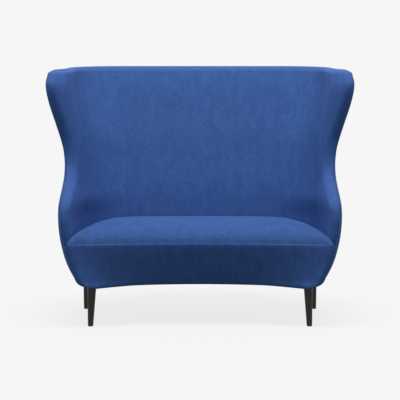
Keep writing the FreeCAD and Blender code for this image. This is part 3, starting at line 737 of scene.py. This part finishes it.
def makeWool():
    k = melangeWool
    material, tree, output = newMaterial("blue melange wool")
    coords = addNode(tree, "ShaderNodeTexCoord").outputs["Object"]
    mottle = addNode(tree, "ShaderNodeTexNoise",
                     {"Scale": 1 / (k["mottle"] * mm), "Detail": 3.0, "Roughness": 0.62},
                     {"Vector": coords})
    streakCoords = addNode(tree, "ShaderNodeMapping", {"Scale": (1.0, 1.0, 0.45)}, {"Vector": coords})
    streak = addNode(tree, "ShaderNodeTexNoise", {"Scale": 1 / (k["streak"] * mm), "Detail": 2.0},
                     {"Vector": streakCoords.outputs["Vector"]})
    both = addNode(tree, "ShaderNodeMix", {"data_type": "FLOAT", "Factor": 0.28},
                   {2: mottle.outputs["Fac"], 3: streak.outputs["Fac"]})
    steps = [(0.36, k["dark"]), (0.5, k["middle"]), (0.66, k["light"])]
    colour = colourSteps(tree, both.outputs[0], steps)
    fleck = addNode(tree, "ShaderNodeTexNoise", {"Scale": 1 / (k["fleck"] * mm), "Detail": 1.0},
                    {"Vector": coords})
    fleckMask = addNode(tree, "ShaderNodeMapRange", {"From Min": 0.66, "From Max": 0.74, "To Max": 0.55},
                        {"Value": fleck.outputs["Fac"]})
    flecked = addNode(tree, "ShaderNodeMix", {"data_type": "RGBA", 7: linear(k["fleckColour"])},
                      {"Factor": fleckMask.outputs["Result"], 6: colour})
    thread = addNode(tree, "ShaderNodeTexNoise", {"Scale": 1 / (k["thread"] * mm), "Detail": 2.0},
                     {"Vector": coords})
    bump = addNode(tree, "ShaderNodeBump", {"Strength": 0.35, "Distance": 0.0008},
                   {"Height": thread.outputs["Fac"]})
    shader = addNode(tree, "ShaderNodeBsdfPrincipled",
                     {"Roughness": 0.92, "Specular IOR Level": 0.25, "Sheen Weight": 0.08,
                      "Sheen Roughness": 0.5, "Sheen Tint": linear("#7f9fd6")},
                     {"Base Color": flecked.outputs[2], "Normal": bump.outputs["Normal"]})
    tree.links.new(shader.outputs["BSDF"], output.inputs["Surface"])
    return material


wool = makeWool()


# A plain procedural finish for what is mostly hidden: two tones from one stretched noise, and a fine bump.
def makePlain(name, dark, light, size, stretch, roughness, metallic=0.0, bumpDepth=0.0003, shine=0.5):
    material, tree, output = newMaterial(name)
    coords = addNode(tree, "ShaderNodeTexCoord").outputs["Object"]
    mapping = addNode(tree, "ShaderNodeMapping", {"Scale": stretch}, {"Vector": coords})
    noise = addNode(tree, "ShaderNodeTexNoise", {"Scale": 1 / (size * mm), "Detail": 4.0},
                    {"Vector": mapping.outputs["Vector"]})
    colour = colourSteps(tree, noise.outputs["Fac"], [(0.35, dark), (0.65, light)])
    bump = addNode(tree, "ShaderNodeBump", {"Strength": 0.4, "Distance": bumpDepth},
                   {"Height": noise.outputs["Fac"]})
    shader = addNode(tree, "ShaderNodeBsdfPrincipled",
                     {"Roughness": roughness, "Metallic": metallic, "Specular IOR Level": shine},
                     {"Base Color": colour, "Normal": bump.outputs["Normal"]})
    tree.links.new(shader.outputs["BSDF"], output.inputs["Surface"])
    return material


finishes = {
    "hardwood": makePlain("planed beech", "#b58a58", "#d3ac7a", 14, (1, 1, 0.12), 0.6),
    "plywood": makePlain("birch plywood", "#c4a06c", "#dcbf92", 10, (0.15, 1, 1.6), 0.6),
    "stained_wood": makePlain(
        "black stained beech", "#0b0b0b", "#191817", 3.5, (1, 1, 0.06), 0.46, shine=0.3),
    "steel": makePlain("zinc plated steel", "#8f9294", "#a9acae", 6, (1, 1, 1), 0.38, 1.0, 0.00005),
    "rubber_webbing": makePlain("rubber webbing", "#2a2723", "#3b3731", 4, (1, 1, 1), 0.8),
    "hessian": makePlain("jute hessian", "#8d744c", "#b79a6b", 3, (1, 1, 1), 0.95),
    "black_cloth": makePlain("black polypropylene cloth", "#0f0f10", "#1b1b1d", 3, (1, 1, 1), 0.85),
    "nylon": makePlain("black nylon", "#161616", "#212121", 8, (1, 1, 1), 0.5),
}


def finish(piece, material):
    piece.data.materials.clear()
    piece.data.materials.append(material)


for piece in (inside, seat, border, *outsides.values()):
    finish(piece, wool)
    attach(piece, "root")
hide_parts("inside_cover", "inside_back_foam", "side_foam_right", "side_foam_left")
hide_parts("seat_cover", "seat_top_foam", "seat_base_foam")
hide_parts("front_border_cover", "front_border_foam")
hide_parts("outside_back_cover")
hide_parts("outside_side_cover_right")
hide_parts("outside_side_cover_left")

sheets = (
    (dust, "black_cloth", dustSize, dustArea, ["seat_rear_rail", "seat_front_rail"], "dust_cover"),
    (deck, "hessian", deckSize, deckArea, ["seat_springs"], "seat_deck_cloth"),
    (hessian, "hessian", hessianSize, hessianArea, ["back_webbing"], "back_hessian"),
)
for piece, slotName, size, area, under, node in sheets:
    finish(piece, finishes[slotName])
    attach(piece, "root")
    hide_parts(node)

nodeSlots = {
    "leg_front": "stained_wood", "leg_rear": "stained_wood", "leg_glides": "nylon",
    "leg_": "steel", "dust_cover_staples": "steel", "dust_cover": "black_cloth",
    "outside_back_panel": "plywood", "outside_side_panel": "plywood", "edge_former": "plywood",
    "seat_former": "plywood", "arm_former": "plywood", "waist_former": "plywood",
    "shoulder_former": "plywood", "rail_dowels": "hardwood", "rail_screws": "steel",
    "back_webbing": "rubber_webbing", "back_hessian": "hessian", "seat_springs": "steel",
    "spring_": "steel", "seat_deck_cloth": "hessian",
}
for name, node in cadNodes.items():
    slotName = "hardwood"
    for start, chosen in nodeSlots.items():
        if name.startswith(start):
            slotName = chosen
            break
    finish(node, finishes[slotName])


print("floor, lights and camera")
studio = {
    "floor": 30, "white": "#f6f6f6", "floorColour": "#f2f2f2", "bounceColour": "#6e6e6e",
    "shadow": 0.14, "shadowFrom": 0.6, "shadowTo": 1.25, "ambient": 0.2,
}


def seenRays(tree):  # 1 for rays from the camera, a mirror or glass, which see the pale backdrop
    path = addNode(tree, "ShaderNodeLightPath")
    direct = addNode(tree, "ShaderNodeMath", {"operation": "MAXIMUM"},
                     {0: path.outputs["Is Camera Ray"], 1: path.outputs["Is Glossy Ray"]})
    seen = addNode(tree, "ShaderNodeMath", {"operation": "MAXIMUM"},
                   {0: direct.outputs[0], 1: path.outputs["Is Transmission Ray"]})
    return seen.outputs[0]


def makeFloor():
    bpy.ops.mesh.primitive_plane_add(size=studio["floor"], location=(0, 6, 0))
    floor = bpy.context.active_object
    floor.name = "studio_floor"
    bpy.ops.object.transform_apply(location=True, rotation=True, scale=True)
    material, tree, output = newMaterial("pale studio floor")
    matte = addNode(tree, "ShaderNodeBsdfDiffuse", {"Color": linear(studio["floorColour"])})
    glow = addNode(tree, "ShaderNodeEmission", {"Color": linear(studio["white"]), "Strength": 1.0})
    seen = seenRays(tree)
    # the object's shadow shows near it, and further off the floor is as pale as the backdrop
    coords = addNode(tree, "ShaderNodeTexCoord").outputs["Object"]
    away = addNode(tree, "ShaderNodeVectorMath", {"operation": "LENGTH"}, {0: coords})
    fade = addNode(tree, "ShaderNodeMapRange",
                   {"From Min": studio["shadowFrom"], "From Max": studio["shadowTo"],
                    "To Min": 1 - studio["shadow"], "To Max": 1.0,
                    "interpolation_type": "SMOOTHSTEP"}, {"Value": away.outputs["Value"]})
    part = addNode(tree, "ShaderNodeMath", {"operation": "MULTIPLY"}, {0: seen, 1: fade.outputs["Result"]})
    bounce = addNode(tree, "ShaderNodeBsdfDiffuse", {"Color": linear(studio["bounceColour"])})
    under = addNode(tree, "ShaderNodeMixShader",
                    links={0: seen, 1: bounce.outputs[0], 2: matte.outputs[0]})
    mix = addNode(tree, "ShaderNodeMixShader",
                  links={0: part.outputs[0], 1: under.outputs[0], 2: glow.outputs[0]})
    tree.links.new(mix.outputs[0], output.inputs["Surface"])
    floor.data.materials.append(material)


makeFloor()

world = bpy.data.worlds.new("studio")
bpy.context.scene.world = world
world.use_nodes = True
tree = world.node_tree
tree.nodes.clear()
ambient = addNode(tree, "ShaderNodeBackground",
                  {"Color": (1.0, 1.0, 1.0, 1.0), "Strength": studio["ambient"]})
backdrop = addNode(tree, "ShaderNodeBackground", {"Color": linear(studio["white"]), "Strength": 1.0})
mix = addNode(tree, "ShaderNodeMixShader",
              links={0: seenRays(tree), 1: ambient.outputs[0], 2: backdrop.outputs[0]})
output = addNode(tree, "ShaderNodeOutputWorld", links={"Surface": mix.outputs[0]})

# name: place, aimed at, size, power
lamps = {
    "overhead softbox": ((0, -0.8, 3.4), (0, 0.1, 0.6), (3.4, 1.2), 98),
    "front fill": ((0, -4.2, 0.7), (0, 0, 0.5), (4.0, 1.0), 18),
    "left strip": ((-3.2, -0.6, 1.5), (0, 0.2, 0.6), (0.6, 1.2), 11),
    "right strip": ((3.2, -0.6, 1.5), (0, 0.2, 0.6), (0.6, 1.2), 11),
    "back softbox": ((0, 4.4, 2.3), (0, 0.4, 0.7), (4.0, 2.0), 75),
}
for name, (spot, target, size, power) in lamps.items():
    light = bpy.data.lights.new(name, "AREA")
    light.shape = "RECTANGLE"
    light.size, light.size_y = size
    light.energy = power
    lamp = bpy.data.objects.new(name, light)
    lamp.location = spot
    lamp.rotation_euler = (Vector(target) - Vector(spot)).to_track_quat("-Z", "Y").to_euler()
    bpy.context.scene.collection.objects.link(lamp)

view = {"place": (0, -4.866, 0.802), "tilt": 87.48, "lens": 85.47, "sensor": 36}
bpy.ops.object.camera_add(location=view["place"], rotation=(math.radians(view["tilt"]), 0, 0))
camera = bpy.context.active_object
camera.data.lens = view["lens"]
camera.data.sensor_width = view["sensor"]
bpy.context.scene.camera = camera
bpy.context.scene.view_settings.view_transform = "Standard"
